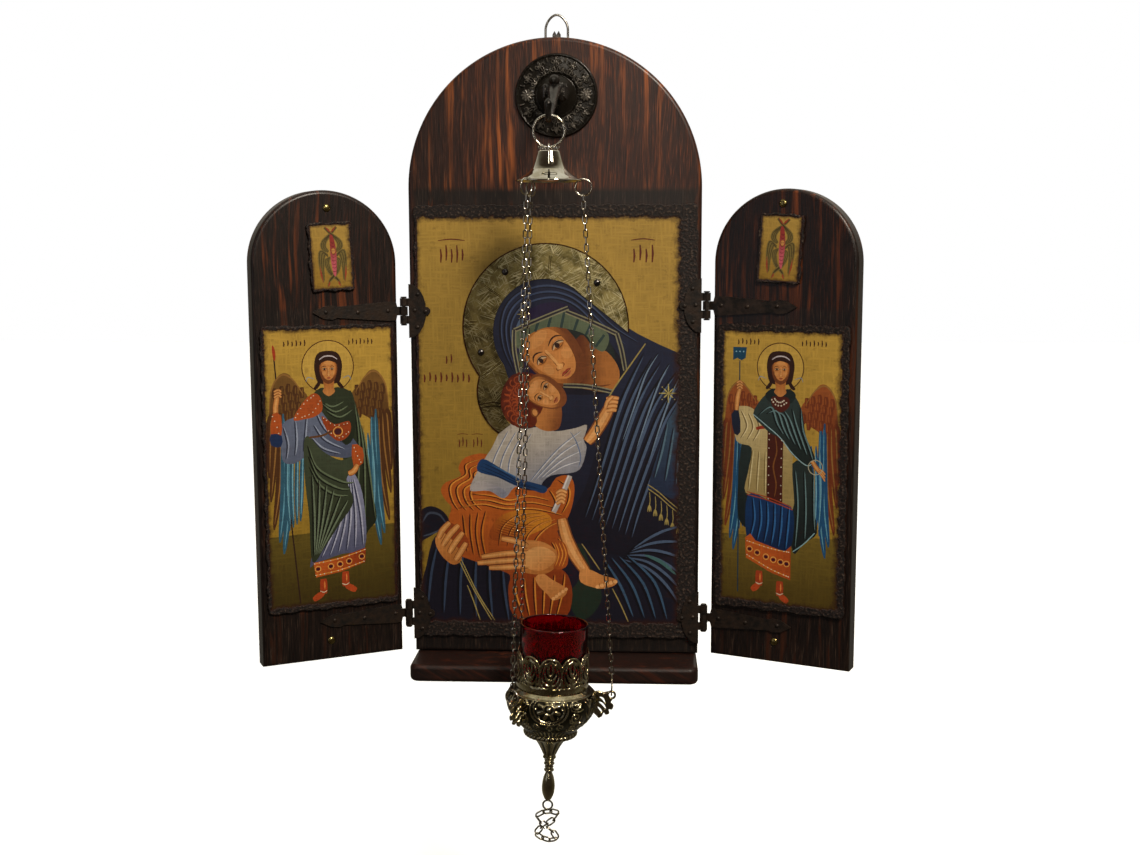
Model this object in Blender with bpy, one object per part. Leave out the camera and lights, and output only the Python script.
"""Hanging folding triptych with a vigil lamp, modelled in metres with +Z up.

The origin is on the back of the centre board, half way up the board and its ledge.
The front faces -Y. Wings turn on vertical pins at the sides of the centre board.
"""
import math

import bmesh
import bpy
from mathutils import Matrix, Vector
from mathutils.geometry import delaunay_2d_cdt

# Clearances
TOUCH_GAP = 0.0003
KNUCKLE_GAP = 0.0004

# Centre board and ledge
BOARD_WIDTH = 0.270
BOARD_HEIGHT = 0.573
BOARD_THICKNESS = 0.018
BOARD_EDGE_RADIUS = 0.0035
LEDGE_INSET = 0.001
LEDGE_HEIGHT = 0.016
LEDGE_OVERHANG = 0.047
LEDGE_EDGE_RADIUS = 0.004
LEDGE_CORNER_RADIUS = 0.009

# Wings: heights are measured from the foot of the wings, level with the top of the ledge
WING_WIDTH = 0.134
WING_HEIGHT = 0.436
WING_ARCH_HEIGHT = 0.066
LEFT_WING_ANGLE = 27.6
RIGHT_WING_ANGLE = 23.8
WING_GAP = 0.010
WING_FOOT_CLEARANCE = 0.0015

# Plaques with ragged burnt edges
PLAQUE_THICKNESS = 0.003
CENTRE_PLAQUE_MARGIN = 0.0035
CENTRE_PLAQUE_BOTTOM = 0.015
CENTRE_PLAQUE_TOP = 0.424
CENTRE_PLAQUE_SHIFT = 0.001
WING_PLAQUE_MARGIN = 0.004
WING_PLAQUE_BOTTOM = 0.050
WING_PLAQUE_TOP = 0.316
SMALL_PLAQUE_WIDTH = 0.043
SMALL_PLAQUE_HEIGHT = 0.064
# Centre of a small plaque: distance from the wing's inner edge, drop below the wing's top
LEFT_SMALL_PLAQUE = (0.0620, 0.0595)
LEFT_SMALL_LEAN = 3.0
RIGHT_SMALL_PLAQUE = (0.0636, 0.0530)
RIGHT_SMALL_LEAN = -3.5
RAGGED_DEPTH = 0.0009
RAGGED_SPACING = 0.0225
SMALL_RAGGED_SPACING = 0.0078
PLAQUE_EDGE_RADIUS = 0.0008

# Halo plate: offsets from the centre of the large ring, heights above the ledge
HALO_THICKNESS = 0.0006
HALO_CENTRE = (-0.0083, 0.3112)
HALO_RADIUS = 0.0772
CHILD_HALO_OFFSET = (-0.0158, -0.0602)
CHILD_HALO_RADIUS = 0.0487
CHILD_HALO_END = 234.0
VEIL_CENTRE = (-0.0010, -0.0050)
VEIL_RADII = (0.0477, 0.0494)
VEIL_ARC = (47.0, 217.0)
SHOULDER_POINT = (0.0772, -0.0055)
HAIR_CENTRE = (-0.0200, -0.0690)
HAIR_RADII = (0.0222, 0.0275)
HAIR_ARC = (131.0, 233.0)
HALO_NAILS = ((-0.0454, 0.3619), (0.0393, 0.3520), (-0.0685, 0.2878))
HALO_NAIL_RADIUS = 0.0032
HALO_NAIL_HEIGHT = 0.0024

# Domed brass nails on the wings: distance from the wing's inner edge, then the top nail's drop
# below the wing's top and the bottom nail's height above its foot
WING_NAIL_RADIUS = 0.0036
WING_NAIL_HEIGHT = 0.0017
LEFT_WING_NAILS = {"top": (0.0647, 0.0159), "bottom": (0.0700, 0.0198)}
RIGHT_WING_NAILS = {"top": (0.0649, 0.0132), "bottom": (0.0635, 0.0214)}

# Hinges
PIN_RADIUS = 0.0017
PIN_HEAD_RADIUS = 0.0028
PIN_HEAD_HEIGHT = 0.0012
KNUCKLE_BORE = 0.0021
KNUCKLE_STEPS = 6
LEAF_THICKNESS = 0.0017
BARREL_LENGTH = 0.0236
STRAP_KNUCKLE = 0.0080
STRAP_LENGTH = 0.0850
STRAP_WIDTH = 0.0175
STRAP_WAIST = 0.0100
STRAP_ROOT = 0.0006
STRAP_SHOULDER = 0.0012
STRAP_NECK = 0.0100
STRAP_TAPER = 0.0040
LEAF_ROOT = 0.0010
SPEAR_WIDTH = 0.0130
SPEAR_LENGTH = 0.0180
LEAF_HEIGHT = 0.0500
LEAF_REACH = 0.0210
LEAF_LOBE_RADIUS = 0.0040
LEFT_HINGE_HEIGHTS = {"upper": 0.3260, "lower": 0.0385}
RIGHT_HINGE_HEIGHTS = {"upper": 0.3310, "lower": 0.0370}

# Rosette and hook
ROSETTE_X = 0.0024
ROSETTE_DROP = 0.0523
ROSETTE_RADIUS = 0.0376
ROSETTE_CELLS = 12
ROSETTE_STEPS_PER_CELL = 3
ROSETTE_RING_RADIUS = 0.0262
ROSETTE_RING_HALF = 0.0055
ROSETTE_RELIEF = 0.0013
BOSS_HEIGHT = 0.0100
ROSETTE_PROFILE = (
    (0.0060, 0.0096), (0.0120, 0.0078), (0.0168, 0.0046), (0.0190, 0.0030),
    (0.0235, 0.0044), (0.0290, 0.0046), (0.0335, 0.0030), (0.0362, 0.0038), (0.0376, 0.0016),
)
# Hook: reach from the wall, height above the rosette's centre, radius
HOOK_PATH = (
    (0.0265, 0.0, 0.0060), (0.0350, 0.0, 0.0074), (0.0430, 0.0018, 0.0082), (0.0520, -0.0002, 0.0066),
    (0.0650, -0.0072, 0.0042), (0.0780, -0.0147, 0.0036), (0.0920, -0.0217, 0.0032), (0.1050, -0.0272, 0.0029),
    (0.1140, -0.0292, 0.0026), (0.1195, -0.0272, 0.0026), (0.1224, -0.0222, 0.0027), (0.1228, -0.0167, 0.0034),
    (0.1220, -0.0132, 0.0018),
)
# Bird on the hook: reach, height and radius of its head; reach, height, spread and half sizes of a wing
BIRD_HEAD = (0.0500, 0.0106, 0.0052)
BIRD_WING = (0.0425, 0.0003, 0.0076)
BIRD_WING_RADII = (0.0050, 0.0042, 0.0085)

# Lamp
LAMP_AXIS_X = 0.0015
LAMP_AXIS_Y = -0.1140
LAMP_RING_RADIUS = 0.0133
LAMP_RING_WIRE = 0.0010
CANOPY_TOP_RADIUS = 0.0098
CANOPY_CROWN_RADIUS = 0.0137
CANOPY_BRIM_RADIUS = 0.0286
CANOPY_CROWN_HEIGHT = 0.0165
CANOPY_SKIRT_HEIGHT = 0.0090
CANOPY_WALL = 0.0010
BRIM_HOLE_MARGIN = 0.0025
BRIM_HOLE_RADIUS = 0.0017
CANOPY_EYE_RADIUS = 0.0030
CANOPY_EYE_WIRE = 0.0009
CHAIN_AZIMUTHS = (0.0, 127.0, 233.0)
JUMP_RING_RADIUS = 0.0070
JUMP_RING_WIRE = 0.0007
# How far a jump ring's centre lies outside the brim, and how far its top rises above the brim
JUMP_RING_OFFSET = 0.0004
JUMP_RING_RISE = 0.0019
CHAIN_PITCH = 0.0060
CHAIN_HALF_WIDTH = 0.0021
CHAIN_HALF_THICKNESS = 0.0006
EAR_PLANE_Z = -0.2835
BOWL_TILT = 2.3
BOWL_AXIS_X = 0.0022
EAR_HOLE_REACH = 0.0530
EAR_HOLE_RADIUS = 0.0022
EAR_THICKNESS = 0.0022
EAR_TOP = 0.0005
EAR_BOTTOM = -0.0190
BOWL_WALL = 0.0012
BOWL_MOUTH_RADIUS = 0.0277
BOWL_LIP = 0.0014
# Outer profile of the bowl: radius, height relative to the ear plane
BOWL_PROFILE = (
    (0.0322, 0.0040), (0.0344, 0.0020), (0.0382, -0.0020), (0.0396, -0.0070), (0.0391, -0.0140),
    (0.0362, -0.0210), (0.0318, -0.0270), (0.0274, -0.0320), (0.0236, -0.0358),
)
ROPE_RADIUS = 0.0214
ROPE_HALF = 0.0026
ROPE_Z = -0.0385
GALLERY_CELLS = 10
GALLERY_RADIUS = 0.0314
GALLERY_WALL = 0.0009
GALLERY_HEIGHT = 0.0330
GALLERY_VALLEY = 0.0262
GLASS_RIM_RADIUS = 0.0302
GLASS_WALL = 0.0018
GLASS_RIM_Z = 0.0610
GLASS_FOOT_Z = -0.0110
GLASS_FOOT_RADIUS = 0.0230
GLASS_FOOT_HEIGHT = 0.0090
GLASS_TAPER = 0.0008
# Outer profile of the finial: radius, height relative to the ear plane
FINIAL_PROFILE = (
    (0.0178, -0.0420), (0.0130, -0.0466), (0.0090, -0.0530), (0.0062, -0.0590), (0.0054, -0.0600),
    (0.0056, -0.0630), (0.0040, -0.0650), (0.0046, -0.0680), (0.0036, -0.0710), (0.0042, -0.0745),
    (0.0030, -0.0775), (0.0050, -0.0830), (0.0058, -0.0900), (0.0050, -0.0970), (0.0026, -0.1020),
)
FLUTE_DEPTH = 0.0008
FINIAL_RING_RADIUS = 0.0042
FINIAL_RING_WIRE = 0.0009
TAIL_WIDTH = 0.0090
TAIL_HEIGHT = 0.0130
TAIL_DEPTH = 0.0042

# Hanger at the top of the centre board: heights are measured from the board's top
HANGER_X = 0.0019
HANGER_WIRE = 0.0011
LOOP_HALF_WIDTH = 0.0102
LOOP_CORNER = 0.0030
LOOP_TOP = 0.0222
LOOP_SHOULDER = 0.0075
LOOP_BOTTOM = -0.0055
LOOP_TAPER = 0.16
STRAP_PLATE = 0.0012
STRAP_PLATE_HALF = 0.0038
STRAP_PLATE_DROP = 0.0100
STRAP_PLATE_WALL_GAP = 0.0010
FORK_TIP = 0.0067
FORK_NOTCH = 0.0033
RECESS_MARGIN = 0.0012

# Places that follow from the sizes above
BOARD_FRONT_Y = -BOARD_THICKNESS
LEDGE_WIDTH = BOARD_WIDTH - 2 * LEDGE_INSET
CENTRE_PLAQUE_WIDTH = BOARD_WIDTH - 2 * CENTRE_PLAQUE_MARGIN
WING_PLAQUE_WIDTH = WING_WIDTH - 2 * WING_PLAQUE_MARGIN
TOTAL_HEIGHT = BOARD_HEIGHT + LEDGE_HEIGHT
FOOT_Z = -TOTAL_HEIGHT / 2
LEDGE_TOP_Z = FOOT_Z + LEDGE_HEIGHT
APEX_Z = LEDGE_TOP_Z + BOARD_HEIGHT
ROSETTE_Z = APEX_Z - ROSETTE_DROP
PLAQUE_FRONT_Y = BOARD_FRONT_Y - TOUCH_GAP - PLAQUE_THICKNESS
KNUCKLE_RADIUS = KNUCKLE_BORE + LEAF_THICKNESS
AXIS_STANDOFF = KNUCKLE_RADIUS + TOUCH_GAP
AXIS_X = (BOARD_WIDTH + WING_GAP) / 2
AXIS_Y = BOARD_FRONT_Y - AXIS_STANDOFF
WING_INNER_EDGE = WING_GAP / 2
LOOP_Y = -(STRAP_PLATE_WALL_GAP + STRAP_PLATE + TOUCH_GAP + HANGER_WIRE)


def clear_scene():
    """Removes whatever the file holds."""
    for item in list(bpy.data.objects):
        bpy.data.objects.remove(item, do_unlink=True)


def make_material(name, colour, roughness, metallic, alpha=1.0):
    """Principled material with plain values."""
    material = bpy.data.materials.new(name)
    material.use_nodes = True
    shader = material.node_tree.nodes["Principled BSDF"]
    shader.inputs["Base Color"].default_value = (*colour, 1.0)
    shader.inputs["Roughness"].default_value = roughness
    shader.inputs["Metallic"].default_value = metallic
    shader.inputs["Alpha"].default_value = alpha
    material.diffuse_color = (*colour, alpha)
    return material


def make_object(name, vertices, faces, material, parent=None):
    """Mesh object from vertices and faces, with its faces turned outwards."""
    mesh = bpy.data.meshes.new(name)
    mesh.from_pydata([tuple(v) for v in vertices], [], faces)
    return finish_object(name, mesh, material, parent)


def finish_object(name, mesh, material, parent=None):
    """Welds, orients and smooths a mesh, and puts it in the scene."""
    work = bmesh.new()
    work.from_mesh(mesh)
    bmesh.ops.remove_doubles(work, verts=work.verts[:], dist=0.000002)
    bmesh.ops.recalc_face_normals(work, faces=work.faces[:])
    work.to_mesh(mesh)
    work.free()
    mesh.materials.append(material)
    mesh.shade_smooth()
    mesh.set_sharp_from_angle(angle=math.radians(35))
    item = bpy.data.objects.new(name, mesh)
    bpy.context.collection.objects.link(item)
    item.parent = parent
    return item


def make_empty(name, location, rotation=(0.0, 0.0, 0.0)):
    """Empty that carries the pieces of a turning or tilted group."""
    item = bpy.data.objects.new(name, None)
    item.empty_display_size = 0.02
    item.location = location
    item.rotation_euler = rotation
    bpy.context.collection.objects.link(item)
    return item


def combine(target, work, name, operation):
    """Adds the shape in work to an object, or cuts it away, with a Boolean modifier."""
    mesh = bpy.data.meshes.new(name)
    work.to_mesh(mesh)
    work.free()
    tool = bpy.data.objects.new(name, mesh)
    bpy.context.collection.objects.link(tool)
    tool.hide_render = True
    tool.display_type = "WIRE"
    boolean = target.modifiers.new(name, "BOOLEAN")
    boolean.operation = operation
    boolean.object = tool


def arc(centre, radii, start, end, steps):
    """Points on an elliptical arc, angles in degrees."""
    points = []
    for index in range(steps + 1):
        angle = math.radians(start + (end - start) * index / steps)
        points.append((centre[0] + radii[0] * math.cos(angle), centre[1] + radii[1] * math.sin(angle)))
    return points


def inset(outline, distance):
    """Outline moved inwards by a distance, along the mitre of each corner."""
    count = len(outline)
    area = sum(outline[i - 1][0] * outline[i][1] - outline[i][0] * outline[i - 1][1] for i in range(count))
    turn = 1.0 if area > 0 else -1.0
    moved = []
    for index in range(count):
        here = Vector(outline[index])
        before = (here - Vector(outline[index - 1])).normalized()
        after = (Vector(outline[(index + 1) % count]) - here).normalized()
        normal_before = Vector((-before.y, before.x)) * turn
        normal_after = Vector((-after.y, after.x)) * turn
        mitre = (normal_before + normal_after).normalized()
        reach = distance / max(0.4, mitre.dot(normal_before))
        moved.append(tuple(here + mitre * reach))
    return moved


def slab(name, outline, back_y, front_y, material, radius=0.0, steps=1, parent=None, round_back=False):
    """Board with the outline (x, z), its front edge rounded and its back square or rounded too."""
    rings = []
    if round_back:
        for index in range(steps + 1):
            angle = math.pi / 2 * (1 - index / steps)
            rings.append((radius * (1 - math.cos(angle)), back_y - radius * (1 - math.sin(angle))))
    else:
        rings.append((0.0, back_y))
    if radius > 0:
        for index in range(steps + 1):
            angle = math.pi / 2 * index / steps
            rings.append((radius * (1 - math.cos(angle)), front_y + radius * (1 - math.sin(angle))))
    else:
        rings.append((0.0, front_y))
    count = len(outline)
    vertices = []
    for distance, y in rings:
        for x, z in inset(outline, distance) if distance > 0 else outline:
            vertices.append((x, y, z))
    faces = [tuple(range(count)), tuple(range(len(vertices) - count, len(vertices)))]
    for ring in range(len(rings) - 1):
        low = ring * count
        for index in range(count):
            after = (index + 1) % count
            faces.append((low + index, low + after, low + count + after, low + count + index))
    return make_object(name, vertices, faces, material, parent)


def inside(point, outline):
    """True where a point lies within a closed outline."""
    x, y = point
    hit = False
    for index in range(len(outline)):
        x0, y0 = outline[index - 1]
        x1, y1 = outline[index]
        if (y0 > y) != (y1 > y) and x < (x1 - x0) * (y - y0) / (y1 - y0) + x0:
            hit = not hit
    return hit


def pierced_cell(outline, holes, place_front, place_back, open_edge=None):
    """Vertices and faces of a plate with holes; place_* turn a flat point into a point in space.

    open_edge(a, b) is true for a boundary edge that stays open, because the next cell joins it.
    """
    points = [Vector(p) for p in outline]
    edges = [(i, (i + 1) % len(outline)) for i in range(len(outline))]
    for hole in holes:
        first = len(points)
        points += [Vector(p) for p in hole]
        edges += [(first + i, first + (i + 1) % len(hole)) for i in range(len(hole))]
    flat, _, triangles, _, _, _ = delaunay_2d_cdt(points, edges, [], 1, 1e-7)
    kept = []
    for triangle in triangles:
        centre = sum((flat[i] for i in triangle), Vector((0.0, 0.0))) / 3
        if inside(centre, outline) and not any(inside(centre, hole) for hole in holes):
            kept.append(tuple(triangle))
    vertices = [place_front(p) for p in flat] + [place_back(p) for p in flat]
    count = len(flat)
    faces = list(kept) + [tuple(i + count for i in reversed(t)) for t in kept]
    used = {}
    for triangle in kept:
        for index in range(3):
            edge = (triangle[index - 1], triangle[index])
            used[edge] = used.get((edge[1], edge[0]), 0)
            if (edge[1], edge[0]) in used:
                used[edge] = used[(edge[1], edge[0])] = 1
    for (a, b), shared in used.items():
        if not shared and not (open_edge and open_edge(flat[a], flat[b])):
            faces.append((b, a, a + count, b + count))
    return vertices, faces


def lathe(name, profile, sides, centre, material, parent=None, closed=True, fluted=()):
    """Turned piece. A closed profile is a loop of (radius, z); an open one runs from axis to axis.

    fluted lists the profile points whose every second corner is drawn in by FLUTE_DEPTH.
    """
    vertices = []
    faces = []
    rings = []
    for level, (radius, z) in enumerate(profile):
        if radius <= 0:
            rings.append([len(vertices)])
            vertices.append((centre[0], centre[1], centre[2] + z))
            continue
        rings.append(list(range(len(vertices), len(vertices) + sides)))
        for index in range(sides):
            angle = 2 * math.pi * index / sides
            reach = radius - (FLUTE_DEPTH if level in fluted and index % 2 else 0.0)
            x = centre[0] + reach * math.cos(angle)
            vertices.append((x, centre[1] + reach * math.sin(angle), centre[2] + z))
    pairs = list(zip(rings, rings[1:]))
    if closed:
        pairs.append((rings[-1], rings[0]))
    for low, high in pairs:
        for index in range(sides):
            after = (index + 1) % sides
            if len(low) == 1 and len(high) == 1:
                continue
            if len(low) == 1:
                faces.append((low[0], high[after], high[index]))
            elif len(high) == 1:
                faces.append((low[index], low[after], high[0]))
            else:
                faces.append((low[index], low[after], high[after], high[index]))
    return make_object(name, vertices, faces, material, parent)


def swept(points, half_sizes, sides, closed, side_hint=Vector((0.0, 1.0, 0.0)), phase=0.5):
    """Vertices and faces of a tube along points; half_sizes gives (across, along the hint) at each point."""
    count = len(points)
    vertices = []
    for index in range(count):
        before = points[index - 1] if closed or index > 0 else points[index]
        after = points[(index + 1) % count] if closed or index < count - 1 else points[index]
        tangent = (after - before).normalized()
        across = tangent.cross(side_hint).normalized()
        other = across.cross(tangent)
        width, depth = half_sizes[index]
        for step in range(sides):
            angle = 2 * math.pi * (step + phase) / sides
            offset = across * width * math.cos(angle) + other * depth * math.sin(angle)
            vertices.append(points[index] + offset)
    faces = []
    for index in range(count if closed else count - 1):
        low = index * sides
        high = ((index + 1) % count) * sides
        for step in range(sides):
            after = (step + 1) % sides
            faces.append((low + step, low + after, high + after, high + step))
    if not closed:
        faces.append(tuple(range(sides)))
        faces.append(tuple(range((count - 1) * sides, count * sides)))
    return vertices, faces


def wire_ring(name, centre, radius, wire, azimuth, material, parent=None, steps=8, sides=4):
    """Upright ring of round wire; azimuth 0 has the ring in the XZ plane."""
    facing = Vector((-math.sin(azimuth), math.cos(azimuth), 0.0))
    along = Vector((math.cos(azimuth), math.sin(azimuth), 0.0))
    points = []
    for index in range(steps):
        angle = 2 * math.pi * index / steps
        points.append(centre + along * radius * math.cos(angle) + Vector((0, 0, radius * math.sin(angle))))
    vertices, faces = swept(points, [(wire, wire)] * steps, sides, True, facing)
    return make_object(name, vertices, faces, material, parent)


def arched_outline(left, right, foot, apex, arch_height, steps):
    """Board outline: square foot, elliptical top."""
    centre = ((left + right) / 2, apex - arch_height)
    radii = ((right - left) / 2, arch_height)
    return [(left, foot), (right, foot)] + arc(centre, radii, 0.0, 180.0, steps)


def ragged_outline(left, right, bottom, top, spacing, phase):
    """Rectangle whose edge wanders in and out a little, as a burnt and broken edge does."""
    corners = [(left, bottom), (right, bottom), (right, top), (left, top)]
    middle = ((left + right) / 2, (bottom + top) / 2)
    outline = []
    travelled = phase
    for index in range(4):
        start = Vector(corners[index])
        end = Vector(corners[(index + 1) % 4])
        steps = max(3, round((end - start).length / spacing))
        direction = (end - start).normalized()
        inward = Vector((-direction.y, direction.x))
        for step in range(steps):
            point = start.lerp(end, step / steps)
            travelled += spacing
            wave = math.sin(travelled * 410.0) + 0.8 * math.sin(travelled * 173.0 + 1.3)
            if step == 0:
                point = point.lerp(Vector(middle), 0.012)
            outline.append(tuple(point + inward * RAGGED_DEPTH * (1.0 + 0.55 * wave)))
    return outline


def dome(name, x, front_y, z, radius, height, material, parent=None):
    """Domed nail head that stands on a face looking along -Y."""
    levels = ((1.0, 0.0), (0.86, 0.5), (0.45, 0.88))
    sides = 8
    vertices = []
    for scale, rise in levels:
        for index in range(sides):
            angle = 2 * math.pi * index / sides
            vertices.append((x + radius * scale * math.cos(angle), front_y - height * rise,
                             z + radius * scale * math.sin(angle)))
    vertices.append((x, front_y - height, z))
    faces = [tuple(range(sides))]
    for level in range(len(levels) - 1):
        for index in range(sides):
            after = (index + 1) % sides
            low = level * sides
            faces.append((low + index, low + after, low + sides + after, low + sides + index))
    last = (len(levels) - 1) * sides
    for index in range(sides):
        faces.append((last + index, last + (index + 1) % sides, len(vertices) - 1))
    return make_object(name, vertices, faces, material, parent)


def circle_crossing(centre_a, radius_a, centre_b, radius_b, side):
    """One crossing of two circles, on the given side of the line between their centres."""
    a = Vector(centre_a)
    line = Vector(centre_b) - a
    distance = line.length
    along = (radius_a ** 2 - radius_b ** 2 + distance ** 2) / (2 * distance)
    across = math.sqrt(radius_a ** 2 - along ** 2)
    direction = line / distance
    return a + direction * along + Vector((-direction.y, direction.x)) * across * side


def halo_outline():
    """Outline of the halo plate round the veil and the child's hair, in board coordinates."""
    big = (0.0, 0.0)
    joint = circle_crossing(big, HALO_RADIUS, CHILD_HALO_OFFSET, CHILD_HALO_RADIUS, -1.0)
    start = math.degrees(math.atan2(SHOULDER_POINT[1], SHOULDER_POINT[0]))
    end = math.degrees(math.atan2(joint.y, joint.x)) % 360
    outline = arc(big, (HALO_RADIUS, HALO_RADIUS), start, end, 26)
    from_child = joint - Vector(CHILD_HALO_OFFSET)
    child_start = math.degrees(math.atan2(from_child.y, from_child.x)) % 360
    child = arc(CHILD_HALO_OFFSET, (CHILD_HALO_RADIUS, CHILD_HALO_RADIUS), child_start, CHILD_HALO_END, 9)
    outline += child[1:]
    hair = arc(HAIR_CENTRE, HAIR_RADII, HAIR_ARC[1], HAIR_ARC[0], 7)
    veil = arc(VEIL_CENTRE, VEIL_RADII, VEIL_ARC[1], VEIL_ARC[0], 16)
    outline += hair + veil
    return [(HALO_CENTRE[0] + x, LEDGE_TOP_Z + HALO_CENTRE[1] + z) for x, z in outline]


def build_centre(materials):
    """Centre board, ledge, plaque, halo plate and its nails. Returns the board."""
    wood = materials["wood"]
    half = BOARD_WIDTH / 2
    outline = arched_outline(-half, half, LEDGE_TOP_Z + TOUCH_GAP, APEX_Z, half, 28)
    board = slab("centre_board", outline, 0.0, BOARD_FRONT_Y, wood, BOARD_EDGE_RADIUS, 2)

    depth = BOARD_THICKNESS + LEDGE_OVERHANG
    half = LEDGE_WIDTH / 2
    corner = LEDGE_CORNER_RADIUS
    plan = [(-half, 0.0), (-half, -depth + corner)]
    plan += arc((-half + corner, -depth + corner), (corner, corner), 180.0, 270.0, 3)[1:]
    plan += arc((half - corner, -depth + corner), (corner, corner), 270.0, 360.0, 3)
    plan += [(half, 0.0)]
    ledge = slab("base_ledge", plan, LEDGE_HEIGHT, 0.0, wood, LEDGE_EDGE_RADIUS, 2, None, True)
    for vertex in ledge.data.vertices:
        x, height, y = vertex.co
        at_wall = y > -LEDGE_EDGE_RADIUS - TOUCH_GAP
        vertex.co = (x, 0.0 if at_wall else y, FOOT_Z + height)
    ledge.data.flip_normals()

    left = CENTRE_PLAQUE_SHIFT - CENTRE_PLAQUE_WIDTH / 2
    right = CENTRE_PLAQUE_SHIFT + CENTRE_PLAQUE_WIDTH / 2
    outline = ragged_outline(left, right, LEDGE_TOP_Z + CENTRE_PLAQUE_BOTTOM, LEDGE_TOP_Z + CENTRE_PLAQUE_TOP,
                             RAGGED_SPACING, 0.0)
    slab("centre_icon_plaque", outline, BOARD_FRONT_Y - TOUCH_GAP, PLAQUE_FRONT_Y, materials["picture"],
         PLAQUE_EDGE_RADIUS, 1)

    halo_back = PLAQUE_FRONT_Y - TOUCH_GAP
    slab("halo_plate", halo_outline(), halo_back, halo_back - HALO_THICKNESS, materials["brass"])
    for index, (x, z) in enumerate(HALO_NAILS):
        dome(f"halo_nail_{index + 1}", x, halo_back - HALO_THICKNESS - TOUCH_GAP, LEDGE_TOP_Z + z,
             HALO_NAIL_RADIUS, HALO_NAIL_HEIGHT, materials["steel"])
    return board


def knuckle_profile(start_angle, end_angle, plate):
    """Rolled knuckle: outer arc, inner arc and the two ends of the plate that it grows from."""
    outer = arc((0.0, 0.0), (KNUCKLE_RADIUS, KNUCKLE_RADIUS), start_angle, end_angle, KNUCKLE_STEPS)
    inner = arc((0.0, 0.0), (KNUCKLE_BORE, KNUCKLE_BORE), end_angle, start_angle, KNUCKLE_STEPS)
    return [plate[0]] + outer + inner + [plate[1]]


def hinge_half(name, profile, knuckles, outline, plate_y, side, axis_z, material, parent):
    """Hinge half: a flat plate with an outline (reach, z) joined to rolled knuckles.

    The profile is (reach, y) and its first and last points are the plate's two faces at the joint.
    """
    work = bmesh.new()
    for low, high in knuckles:
        bottom = [work.verts.new((side * x, y, axis_z + low)) for x, y in profile]
        top = [work.verts.new((side * x, y, axis_z + high)) for x, y in profile]
        work.faces.new(bottom)
        work.faces.new(top)
        for index in range(len(profile) - 1):
            work.faces.new((bottom[index], bottom[index + 1], top[index + 1], top[index]))
    reach = profile[0][0]
    back = [work.verts.new((side * x, plate_y[1], axis_z + z)) for x, z in outline]
    front = [work.verts.new((side * x, plate_y[0], axis_z + z)) for x, z in outline]
    work.faces.new(back)
    work.faces.new(front)
    for index in range(len(outline)):
        after = (index + 1) % len(outline)
        ends = sorted((outline[index][1], outline[after][1]))
        at_joint = abs(outline[index][0] - reach) < 1e-6 and abs(outline[after][0] - reach) < 1e-6
        if at_joint and any(abs(ends[0] - a) < 1e-6 and abs(ends[1] - b) < 1e-6 for a, b in knuckles):
            continue
        work.faces.new((back[index], back[after], front[after], front[index]))
    mesh = bpy.data.meshes.new(name)
    work.to_mesh(mesh)
    work.free()
    return finish_object(name, mesh, material, parent)


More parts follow.
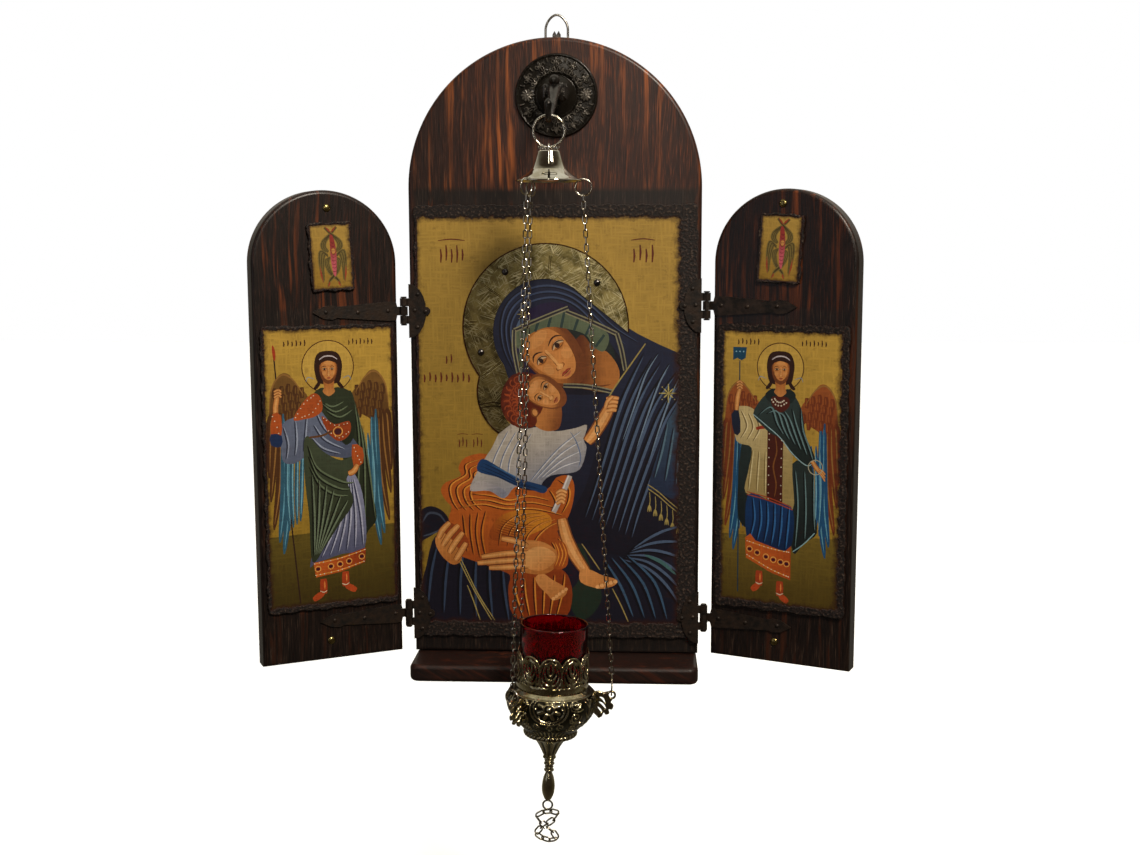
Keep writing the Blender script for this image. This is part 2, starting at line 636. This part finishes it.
def build_hinge(side, label, height, wing_axis, materials):
    """One hinge: spear-ended strap on the wing, D-shaped leaf on the centre, and the pin."""
    iron = materials["iron"]
    axis_z = LEDGE_TOP_Z + height
    half_knuckle = STRAP_KNUCKLE / 2
    half_barrel = BARREL_LENGTH / 2

    # Strap: its plate is tangent to the back of the barrel and lies on the wing's face
    joint = WING_INNER_EDGE + STRAP_ROOT
    plate = (KNUCKLE_BORE, KNUCKLE_RADIUS)
    profile = knuckle_profile(90.0, 375.0, ((joint, plate[1]), (joint, plate[0])))
    neck = joint + STRAP_NECK
    spear_start = STRAP_LENGTH - SPEAR_LENGTH
    edge = [
        (joint, half_knuckle), (joint + STRAP_SHOULDER, STRAP_WIDTH / 2), (neck, STRAP_WIDTH / 2),
        (spear_start - STRAP_TAPER, STRAP_WAIST / 2), (spear_start, SPEAR_WIDTH / 2),
        (spear_start + SPEAR_LENGTH * 0.45, SPEAR_WIDTH / 2 * 0.85),
    ]
    outline = [(x, -z) for x, z in edge] + [(STRAP_LENGTH, 0.0)] + edge[::-1]
    side_name = "left" if side < 0 else "right"
    hinge_half(f"{side_name}_{label}_hinge_strap", profile, [(-half_knuckle, half_knuckle)], outline, plate,
               side, axis_z, iron, wing_axis)

    # Leaf: its plate lies on the plaque, half way through the barrel
    leaf_back = PLAQUE_FRONT_Y - TOUCH_GAP - AXIS_Y
    plate = (leaf_back - LEAF_THICKNESS, leaf_back)
    joint = KNUCKLE_RADIUS + LEAF_ROOT
    start = math.degrees(math.asin(plate[1] / KNUCKLE_RADIUS))
    lower_reach = math.sqrt(KNUCKLE_RADIUS ** 2 - plate[0] ** 2)
    outer = arc((0.0, 0.0), (KNUCKLE_RADIUS, KNUCKLE_RADIUS), start, 325.0, KNUCKLE_STEPS)
    inner = arc((0.0, 0.0), (KNUCKLE_BORE, KNUCKLE_BORE), 325.0, -18.0, KNUCKLE_STEPS)
    profile = [(joint, plate[1])] + outer + inner + [(lower_reach, plate[0]), (joint, plate[0])]
    knuckle_low = half_knuckle + KNUCKLE_GAP
    curve = arc((joint, 0.0), (LEAF_REACH - joint, LEAF_HEIGHT / 2), 90.0, 15.0, 4)
    lobe = arc((LEAF_REACH, 0.0), (LEAF_LOBE_RADIUS, LEAF_LOBE_RADIUS), 100.0, -100.0, 5)
    tail = [(x, -z) for x, z in reversed(curve)]
    outline = curve + lobe + tail
    outline += [(joint, -half_barrel), (joint, -knuckle_low), (joint, knuckle_low), (joint, half_barrel)]
    leaf = hinge_half(f"{side_name}_{label}_hinge_leaf", profile,
                      [(-half_barrel, -knuckle_low), (knuckle_low, half_barrel)], outline, plate,
                      -side, axis_z, iron, None)
    leaf.location = (side * AXIS_X, AXIS_Y, 0.0)

    # Pin with a head at each end
    half = half_barrel + TOUCH_GAP
    pin = [
        (0.0, -half - PIN_HEAD_HEIGHT), (PIN_HEAD_RADIUS, -half - PIN_HEAD_HEIGHT), (PIN_HEAD_RADIUS, -half),
        (PIN_RADIUS, -half), (PIN_RADIUS, half), (PIN_HEAD_RADIUS, half),
        (PIN_HEAD_RADIUS, half + PIN_HEAD_HEIGHT), (0.0, half + PIN_HEAD_HEIGHT),
    ]
    place = (side * AXIS_X, AXIS_Y, axis_z)
    lathe(f"{side_name}_{label}_hinge_pin", pin, 6, place, iron, None, closed=False)


def build_wing(side, angle, small_plaque, lean, nails, hinges, materials):
    """One wing and its two hinges. side is -1 on the left and +1 on the right."""
    side_name = "left" if side < 0 else "right"
    turn = (0.0, 0.0, -side * math.radians(angle))
    axis = make_empty(f"{side_name}_wing_axis", (side * AXIS_X, AXIS_Y, 0.0), turn)
    inner = WING_INNER_EDGE
    outer = inner + WING_WIDTH
    face = AXIS_STANDOFF
    middle = (inner + outer) / 2
    top = LEDGE_TOP_Z + WING_HEIGHT
    outline = arched_outline(inner, outer, LEDGE_TOP_Z + WING_FOOT_CLEARANCE, top, WING_ARCH_HEIGHT, 18)
    outline = [(side * x, z) for x, z in outline]
    slab(f"{side_name}_wing_board", outline, face + BOARD_THICKNESS, face, materials["wood"],
         BOARD_EDGE_RADIUS, 2, axis)

    plaque_back = face - TOUCH_GAP
    plaque_front = plaque_back - PLAQUE_THICKNESS
    half = WING_PLAQUE_WIDTH / 2
    outline = ragged_outline(middle - half, middle + half, LEDGE_TOP_Z + WING_PLAQUE_BOTTOM,
                             LEDGE_TOP_Z + WING_PLAQUE_TOP, RAGGED_SPACING, 0.3 * side)
    outline = [(side * x, z) for x, z in outline]
    slab(f"{side_name}_icon_plaque", outline, plaque_back, plaque_front, materials["picture"],
         PLAQUE_EDGE_RADIUS, 1, axis)

    reach, drop = small_plaque
    centre = Vector((inner + reach, top - drop))
    ragged = ragged_outline(-SMALL_PLAQUE_WIDTH / 2, SMALL_PLAQUE_WIDTH / 2, -SMALL_PLAQUE_HEIGHT / 2,
                            SMALL_PLAQUE_HEIGHT / 2, SMALL_RAGGED_SPACING, 0.7 * side)
    turn = Matrix.Rotation(math.radians(lean), 2)
    outline = [tuple(Vector((side * centre.x, centre.y)) + turn @ Vector(p)) for p in ragged]
    slab(f"{side_name}_seraph_plaque", outline, plaque_back, plaque_front, materials["picture"],
         PLAQUE_EDGE_RADIUS, 1, axis)

    for label, (reach, distance) in nails.items():
        height = top - distance if label == "top" else LEDGE_TOP_Z + distance
        dome(f"{side_name}_{label}_nail", side * (inner + reach), plaque_back, height,
             WING_NAIL_RADIUS, WING_NAIL_HEIGHT, materials["brass"], axis)
    for label, height in hinges.items():
        build_hinge(side, label, height, axis, materials)


def build_hanger(board, materials):
    """Recess behind the board's top edge, the folded strap in it and the pointed loop that it holds."""
    steel = materials["steel"]
    bar_z = APEX_Z + LOOP_BOTTOM
    front_back = LOOP_Y - HANGER_WIRE - TOUCH_GAP
    front_face = front_back - STRAP_PLATE
    rear_front = LOOP_Y + HANGER_WIRE + TOUCH_GAP
    rear_face = rear_front + STRAP_PLATE
    fold_low = bar_z + HANGER_WIRE + TOUCH_GAP
    fold_top = fold_low + STRAP_PLATE
    low = bar_z - STRAP_PLATE_DROP

    # Recess, open to the back and to the top
    half = LOOP_HALF_WIDTH + HANGER_WIRE + RECESS_MARGIN
    depth = TOUCH_GAP - front_face
    height = APEX_Z - low + RECESS_MARGIN
    work = bmesh.new()
    bmesh.ops.create_cube(work, size=1.0)
    bmesh.ops.scale(work, vec=(2 * half, 2 * depth, 2 * height), verts=work.verts[:])
    bmesh.ops.translate(work, vec=(HANGER_X, 0.0, APEX_Z), verts=work.verts[:])
    combine(board, work, "hanger_recess", "DIFFERENCE")

    # Strap: its front leaf ends in two points, its fold passes over the loop's lower bar
    vertices = []
    sections = ((-1.0, FORK_NOTCH), (-0.5, FORK_TIP), (0.0, FORK_NOTCH), (0.5, FORK_TIP), (1.0, FORK_NOTCH))
    for share, rise in sections:
        x = HANGER_X + share * STRAP_PLATE_HALF
        top = APEX_Z + rise
        ring = [
            (front_face, low), (front_face, top), (front_back, top), (front_back, fold_top),
            (rear_face, fold_top), (rear_face, low), (rear_front, low), (rear_front, fold_low),
            (front_back, fold_low), (front_back, low),
        ]
        vertices += [(x, y, z) for y, z in ring]
    count = len(ring)
    faces = [tuple(range(count)), tuple(range(len(vertices) - count, len(vertices)))]
    for section in range(len(sections) - 1):
        first = section * count
        for index in range(count):
            after = (index + 1) % count
            faces.append((first + index, first + after, first + count + after, first + count + index))
    make_object("hanger_plate", vertices, faces, steel)

    # Loop: straight legs and a pointed arch
    half = LOOP_HALF_WIDTH
    corner = LOOP_CORNER
    shoulder = APEX_Z + LOOP_SHOULDER
    outline = arc((corner - half, bar_z + corner), (corner, corner), 180.0, 270.0, 2)
    outline += arc((half - corner, bar_z + corner), (corner, corner), 270.0, 360.0, 2)
    for x, rise in arc((0.0, 0.0), (1.0, 1.0), 0.0, 180.0, 10):
        reach = half * x * (1.0 - LOOP_TAPER * rise * rise)
        outline.append((reach, shoulder + rise * (APEX_Z + LOOP_TOP - HANGER_WIRE - shoulder)))
    points = [Vector((HANGER_X + x, LOOP_Y, z)) for x, z in outline]
    vertices, faces = swept(points, [(HANGER_WIRE, HANGER_WIRE)] * len(points), 5, True)
    make_object("hanging_ring", vertices, faces, steel)


def rosette_height(radius, angle):
    """Relief of the rosette: leaves repeat in the cells of its outer ring."""
    cell = angle * ROSETTE_CELLS / (2 * math.pi)
    leaf = math.cos(2 * math.pi * cell)
    ring = max(0.0, 1.0 - abs(radius - ROSETTE_RING_RADIUS) / ROSETTE_RING_HALF)
    return ROSETTE_RELIEF * leaf * ring


def build_hook(materials):
    """Cast rosette and the hook with its small bird."""
    iron = materials["iron"]
    steps = ROSETTE_CELLS * ROSETTE_STEPS_PER_CELL
    base_y = BOARD_FRONT_Y - TOUCH_GAP
    x0 = ROSETTE_X
    z0 = ROSETTE_Z
    profile = list(ROSETTE_PROFILE)
    vertices = [(x0, base_y - BOSS_HEIGHT, z0)]
    for radius, height in profile:
        for index in range(steps):
            angle = 2 * math.pi * index / steps
            rise = height + rosette_height(radius, angle)
            vertices.append((x0 + radius * math.cos(angle), base_y - rise, z0 + radius * math.sin(angle)))
    back = len(vertices)
    for index in range(steps):
        angle = 2 * math.pi * index / steps
        x = x0 + ROSETTE_RADIUS * math.cos(angle)
        vertices.append((x, base_y, z0 + ROSETTE_RADIUS * math.sin(angle)))
    faces = [tuple(range(back, back + steps))]
    for index in range(steps):
        faces.append((0, 1 + index, 1 + (index + 1) % steps))
    for ring in range(len(profile)):
        low = 1 + ring * steps
        for index in range(steps):
            after = (index + 1) % steps
            faces.append((low + index, low + after, low + steps + after, low + steps + index))
    make_object("hook_rosette", vertices, faces, iron)

    boss_front = base_y - BOSS_HEIGHT - TOUCH_GAP
    lean = (LAMP_AXIS_X - x0) / (boss_front - LAMP_AXIS_Y)
    points = []
    sizes = []
    for reach, height, size in HOOK_PATH:
        y = min(-reach, boss_front)
        points.append(Vector((x0 + lean * (boss_front - y), y, z0 + height)))
        sizes.append((size, size))
    vertices, faces = swept(points, sizes, 8, False, Vector((1.0, 0.0, 0.0)))
    hook = make_object("lamp_hook", vertices, faces, iron)
    reach, height, size = BIRD_HEAD
    blobs = [(x0, -reach, z0 + height, (size, size * 1.25, size))]
    reach, height, spread = BIRD_WING
    for side in (-1, 1):
        blobs.append((x0 + side * spread, -reach, z0 + height, BIRD_WING_RADII))
    for index, (x, y, z, radii) in enumerate(blobs):
        work = bmesh.new()
        bmesh.ops.create_uvsphere(work, u_segments=8, v_segments=5, radius=1.0)
        bmesh.ops.scale(work, vec=radii, verts=work.verts[:])
        bmesh.ops.translate(work, vec=(x, y, z), verts=work.verts[:])
        combine(hook, work, f"bird_part_{index}", "UNION")


def chain_points(start, end, pitch):
    """Evenly spaced points, one for each link."""
    count = max(2, round((end - start).length / pitch))
    return [start.lerp(end, index / count) for index in range(count + 1)]


def build_chain(name, points, material, closed=False, hint=Vector((0.0, 1.0, 0.0)), parent=None):
    """Strand whose links lie crosswise in turn."""
    sizes = []
    for index in range(len(points)):
        wide = (CHAIN_HALF_WIDTH, CHAIN_HALF_THICKNESS)
        sizes.append(wide if index % 2 else wide[::-1])
    vertices, faces = swept(points, sizes, 4, closed, hint, 0.0)
    return make_object(name, vertices, faces, material, parent)


def bowl_frame():
    """Place and lean of the lamp's bowl."""
    place = Matrix.Translation((BOWL_AXIS_X, LAMP_AXIS_Y, EAR_PLANE_Z))
    return place @ Matrix.Rotation(math.radians(BOWL_TILT), 4, "Y")


def bowl_radius(z):
    """Outer radius of the bowl at a height relative to the ear plane."""
    for (r0, z0), (r1, z1) in zip(BOWL_PROFILE, BOWL_PROFILE[1:]):
        if z1 <= z <= z0:
            return r0 + (r1 - r0) * (z0 - z) / (z0 - z1)
    return BOWL_PROFILE[0][0] if z > 0 else BOWL_PROFILE[-1][0]


def build_lamp_top(materials):
    """Ring on the hook, eye, canopy and its three jump rings. Returns the places where chains start."""
    silver = materials["silver"]
    centre = Vector((LAMP_AXIS_X, LAMP_AXIS_Y, 0.0))
    hook_low = min(HOOK_PATH, key=lambda p: p[1])
    ring_z = ROSETTE_Z + hook_low[1] + hook_low[2] + TOUCH_GAP + LAMP_RING_WIRE - LAMP_RING_RADIUS
    wire_ring("lamp_ring", centre + Vector((0, 0, ring_z)), LAMP_RING_RADIUS, LAMP_RING_WIRE, 0.0, silver,
              steps=16, sides=5)

    ring_low = ring_z - LAMP_RING_RADIUS
    eye_top = ring_low + LAMP_RING_WIRE + TOUCH_GAP + CANOPY_EYE_WIRE
    crown_z = eye_top - CANOPY_EYE_RADIUS - 0.0022
    points = [Vector((LAMP_AXIS_X, LAMP_AXIS_Y - CANOPY_EYE_RADIUS, crown_z + TOUCH_GAP))]
    for index in range(7):
        angle = math.pi * (1 - index / 6)
        points.append(Vector((LAMP_AXIS_X, LAMP_AXIS_Y + CANOPY_EYE_RADIUS * math.cos(angle),
                              eye_top - CANOPY_EYE_RADIUS + CANOPY_EYE_RADIUS * math.sin(angle))))
    points.append(Vector((LAMP_AXIS_X, LAMP_AXIS_Y + CANOPY_EYE_RADIUS, crown_z + TOUCH_GAP)))
    sizes = [(CANOPY_EYE_WIRE, CANOPY_EYE_WIRE)] * len(points)
    vertices, faces = swept(points, sizes, 5, False, Vector((1.0, 0.0, 0.0)))
    make_object("canopy_eye", vertices, faces, silver)

    crown_base = -CANOPY_CROWN_HEIGHT
    brim = crown_base - CANOPY_SKIRT_HEIGHT
    outer = [
        (0.0, 0.0), (CANOPY_TOP_RADIUS - 0.0008, 0.0), (CANOPY_TOP_RADIUS, -0.0008),
        (CANOPY_CROWN_RADIUS, crown_base), (CANOPY_CROWN_RADIUS + 0.0022, crown_base - 0.0012),
        (CANOPY_CROWN_RADIUS + 0.0085, crown_base - 0.0048), (CANOPY_BRIM_RADIUS - 0.0012, brim + 0.0008),
        (CANOPY_BRIM_RADIUS, brim),
    ]
    inner = [(0.0, -CANOPY_WALL)]
    inner += [(r - CANOPY_WALL, z - CANOPY_WALL * 0.8) for r, z in outer[1:-1:2]]
    inner.append((CANOPY_BRIM_RADIUS - 0.0012 - CANOPY_WALL, brim - 0.0004))
    profile = outer + [(CANOPY_BRIM_RADIUS - 0.0003, brim - 0.0008)] + inner[::-1]
    canopy_at = (LAMP_AXIS_X, LAMP_AXIS_Y, crown_z)
    canopy = lathe("lamp_canopy", profile, 20, canopy_at, silver, None, closed=False)

    starts = []
    brim_z = crown_z + brim
    hole_reach = CANOPY_BRIM_RADIUS - BRIM_HOLE_MARGIN
    ring_reach = CANOPY_BRIM_RADIUS + JUMP_RING_OFFSET
    ring_middle = brim_z + JUMP_RING_RISE - JUMP_RING_RADIUS
    for index, degrees in enumerate(CHAIN_AZIMUTHS):
        azimuth = math.radians(degrees)
        out = Vector((math.cos(azimuth), math.sin(azimuth), 0.0))
        work = bmesh.new()
        bmesh.ops.create_cone(work, cap_ends=True, segments=6, radius1=BRIM_HOLE_RADIUS,
                              radius2=BRIM_HOLE_RADIUS, depth=2 * CANOPY_SKIRT_HEIGHT)
        bmesh.ops.rotate(work, matrix=Matrix.Rotation(azimuth, 3, "Z"), verts=work.verts[:])
        hole_at = Vector((LAMP_AXIS_X, LAMP_AXIS_Y, brim_z)) + out * hole_reach
        bmesh.ops.translate(work, vec=hole_at, verts=work.verts[:])
        combine(canopy, work, f"brim_hole_{index + 1}", "DIFFERENCE")
        middle = Vector((LAMP_AXIS_X, LAMP_AXIS_Y, ring_middle)) + out * ring_reach
        wire_ring(f"canopy_ring_{index + 1}", middle, JUMP_RING_RADIUS, JUMP_RING_WIRE, azimuth, silver,
                  steps=12)
        starts.append(middle - Vector((0, 0, JUMP_RING_RADIUS + JUMP_RING_WIRE + TOUCH_GAP)))
    return starts


def ear_outline():
    """Leaf-shaped ear (reach, z) from the bowl's wall to the eye, with the leaf hanging below."""
    levels = [EAR_TOP] + [z for _, z in BOWL_PROFILE if EAR_BOTTOM < z < EAR_TOP] + [EAR_BOTTOM]
    outline = [(bowl_radius(z) + 2 * TOUCH_GAP, z) for z in reversed(levels)]
    outline += [(0.0440, 0.0016), (0.0490, 0.0004)]
    lobe = arc((EAR_HOLE_REACH, -0.0022), (0.0042, 0.0042), 110.0, -70.0, 5)
    leaf = [(0.0530, -0.0110), (0.0546, -0.0150), (0.0500, -0.0200), (0.0460, -0.0214), (0.0420, -0.0238)]
    return outline + lobe + leaf


def build_lamp_bowl(frame, starts, materials):
    """Bowl, ears, gallery, glass, finial and the chains that carry them."""
    silver = materials["silver"]
    rope = [(ROPE_RADIUS + ROPE_HALF * math.cos(a), ROPE_Z + ROPE_HALF * math.sin(a))
            for a in (math.radians(d) for d in (60, 10, -40, -90))]
    foot_z = FINIAL_PROFILE[0][1] + TOUCH_GAP
    outer = list(BOWL_PROFILE) + rope + [(FINIAL_PROFILE[0][0] - 0.0006, foot_z)]
    rim_z = BOWL_PROFILE[0][1]
    inner = [(BOWL_MOUTH_RADIUS, rim_z), (BOWL_MOUTH_RADIUS, rim_z - BOWL_LIP)]
    inner += [(r - BOWL_WALL, z + BOWL_WALL * 0.6) for r, z in BOWL_PROFILE[2::2]]
    floor_z = inner[-1][1] - 0.0012
    profile = [(0.0, foot_z)] + outer[::-1] + inner + [(inner[-1][0] - 0.0045, floor_z), (0.0, floor_z)]
    lathe("lamp_bowl", profile, 21, (0.0, 0.0, 0.0), silver, frame, closed=False)

    # Pierced and scalloped gallery, one cell repeated round the rim
    cell = 2 * math.pi / GALLERY_CELLS
    foot = rim_z + TOUCH_GAP
    height = GALLERY_HEIGHT
    valley = GALLERY_VALLEY
    outline = [
        (0.0, 0.0), (0.5, 0.0), (1.0, 0.0), (1.0, valley * 0.5), (1.0, valley),
        (0.80, height * 0.95), (0.5, height), (0.20, height * 0.95), (0.0, valley), (0.0, valley * 0.5),
    ]
    leaf = [(0.36, 0.20), (0.42, 0.45), (0.37, 0.76), (0.24, 0.66), (0.16, 0.44)]
    leaf = [(x, z * height) for x, z in leaf]
    holes = [leaf, [(1.0 - x, z) for x, z in reversed(leaf)]]

    def place(radius, turn):
        def bend(point):
            angle = (point.x + turn) * cell
            return Vector((radius * math.cos(angle), radius * math.sin(angle), foot + point.y))

        return bend

    def seam(a, b):
        return abs(a.x - b.x) < 1e-6 and (abs(a.x) < 1e-6 or abs(a.x - 1.0) < 1e-6)

    vertices = []
    faces = []
    for turn in range(GALLERY_CELLS):
        front = place(GALLERY_RADIUS + GALLERY_WALL / 2, turn)
        back = place(GALLERY_RADIUS - GALLERY_WALL / 2, turn)
        cell_vertices, cell_faces = pierced_cell(outline, holes, front, back, seam)
        first = len(vertices)
        vertices += cell_vertices
        faces += [tuple(first + i for i in face) for face in cell_faces]
    make_object("lamp_gallery", vertices, faces, silver, frame)

    # Cup of glass: its shoulder rests on the bowl's lip
    waist = BOWL_MOUTH_RADIUS - TOUCH_GAP
    shoulder = rim_z + TOUCH_GAP
    outer = [
        (GLASS_FOOT_RADIUS, GLASS_FOOT_Z), (waist, GLASS_FOOT_Z + GLASS_FOOT_HEIGHT), (waist, shoulder),
        (GLASS_RIM_RADIUS - GLASS_TAPER, shoulder + GLASS_WALL / 2),
        (GLASS_RIM_RADIUS, GLASS_RIM_Z - GLASS_WALL / 2), (GLASS_RIM_RADIUS - GLASS_WALL / 3, GLASS_RIM_Z),
    ]
    inner = [
        (GLASS_RIM_RADIUS - GLASS_WALL * 0.8, GLASS_RIM_Z),
        (GLASS_RIM_RADIUS - GLASS_WALL, GLASS_RIM_Z - GLASS_WALL / 2),
        (waist - GLASS_WALL, shoulder + GLASS_WALL), (waist - GLASS_WALL, GLASS_FOOT_Z + GLASS_FOOT_HEIGHT),
        (GLASS_FOOT_RADIUS - GLASS_WALL / 2, GLASS_FOOT_Z + 2 * GLASS_WALL),
    ]
    profile = [(0.0, GLASS_FOOT_Z)] + outer + inner + [(0.0, GLASS_FOOT_Z + 2 * GLASS_WALL)]
    lathe("lamp_glass", profile, 18, (0.0, 0.0, 0.0), materials["glass"], frame, closed=False)

    # Finial: fluted cone, turned stem and long bead
    top = [(0.0, FINIAL_PROFILE[0][1])]
    end = [(0.0, FINIAL_PROFILE[-1][1])]
    lathe("lamp_finial", top + list(FINIAL_PROFILE) + end, 12, (0.0, 0.0, 0.0), silver, frame, closed=False,
          fluted=(1, 2, 3))
    ring_z = FINIAL_PROFILE[-1][1] - TOUCH_GAP - FINIAL_RING_WIRE - FINIAL_RING_RADIUS
    ring_at = Vector((0.0, 0.0, ring_z))
    wire_ring("finial_ring", ring_at, FINIAL_RING_RADIUS, FINIAL_RING_WIRE, 0.0, silver, frame)

    # Knotted end of chain below the finial
    top_z = ring_z - FINIAL_RING_RADIUS - FINIAL_RING_WIRE - CHAIN_HALF_WIDTH - TOUCH_GAP
    points = []
    steps = 18
    for index in range(steps):
        t = 2 * math.pi * (index + 0.5) / steps
        drop = TAIL_HEIGHT * (1 - math.cos(t))
        points.append(Vector((TAIL_WIDTH * math.sin(2 * t), TAIL_DEPTH * math.sin(t), top_z - drop)))
    build_chain("tail_chain", points, silver, closed=True, parent=frame)

    matrix = bowl_frame()
    for index, (start, degrees) in enumerate(zip(starts, CHAIN_AZIMUTHS)):
        azimuth = math.radians(degrees)
        out = Vector((math.cos(azimuth), math.sin(azimuth), 0.0))
        across = Vector((-math.sin(azimuth), math.cos(azimuth), 0.0))
        outline = ear_outline()
        hole = arc((EAR_HOLE_REACH, -0.0022), (EAR_HOLE_RADIUS, EAR_HOLE_RADIUS), 0.0, 300.0, 5)
        half = EAR_THICKNESS / 2

        def place_ear(offset):
            return lambda p: out * p.x + across * offset + Vector((0.0, 0.0, p.y))

        vertices, faces = pierced_cell(outline, [hole], place_ear(half), place_ear(-half))
        make_object(f"bowl_ear_{index + 1}", vertices, faces, silver, frame)

        ring_centre = out * EAR_HOLE_REACH + Vector((0.0, 0.0, -0.0022 + JUMP_RING_RADIUS))
        turn = azimuth + math.pi / 2
        wire_ring(f"bowl_ring_{index + 1}", ring_centre, JUMP_RING_RADIUS, JUMP_RING_WIRE, turn, silver, frame)
        end = matrix @ (ring_centre + Vector((0.0, 0.0, JUMP_RING_RADIUS + JUMP_RING_WIRE + TOUCH_GAP)))
        links = chain_points(start, end, 3 * CHAIN_PITCH)
        build_chain(f"lamp_chain_{index + 1}", links, silver, hint=across)


def main():
    """Builds the whole object."""
    clear_scene()
    materials = {
        "wood": make_material("burnt pine", (0.045, 0.016, 0.007), 0.38, 0.0),
        "picture": make_material("varnished print", (0.30, 0.19, 0.04), 0.42, 0.0),
        "iron": make_material("black iron", (0.020, 0.018, 0.018), 0.45, 0.85),
        "steel": make_material("steel wire", (0.42, 0.40, 0.38), 0.30, 1.0),
        "brass": make_material("brass leaf", (0.48, 0.40, 0.20), 0.35, 1.0),
        "silver": make_material("nickel plate", (0.62, 0.58, 0.50), 0.18, 1.0),
        "glass": make_material("red glass", (0.45, 0.01, 0.02), 0.05, 0.0, 0.6),
    }
    board = build_centre(materials)
    build_wing(-1, LEFT_WING_ANGLE, LEFT_SMALL_PLAQUE, LEFT_SMALL_LEAN, LEFT_WING_NAILS,
               LEFT_HINGE_HEIGHTS, materials)
    build_wing(1, RIGHT_WING_ANGLE, RIGHT_SMALL_PLAQUE, RIGHT_SMALL_LEAN, RIGHT_WING_NAILS,
               RIGHT_HINGE_HEIGHTS, materials)
    build_hanger(board, materials)
    build_hook(materials)
    starts = build_lamp_top(materials)
    tilt = (0.0, math.radians(BOWL_TILT), 0.0)
    frame = make_empty("lamp_bowl_frame", (BOWL_AXIS_X, LAMP_AXIS_Y, EAR_PLANE_Z), tilt)
    build_lamp_bowl(frame, starts, materials)


main()
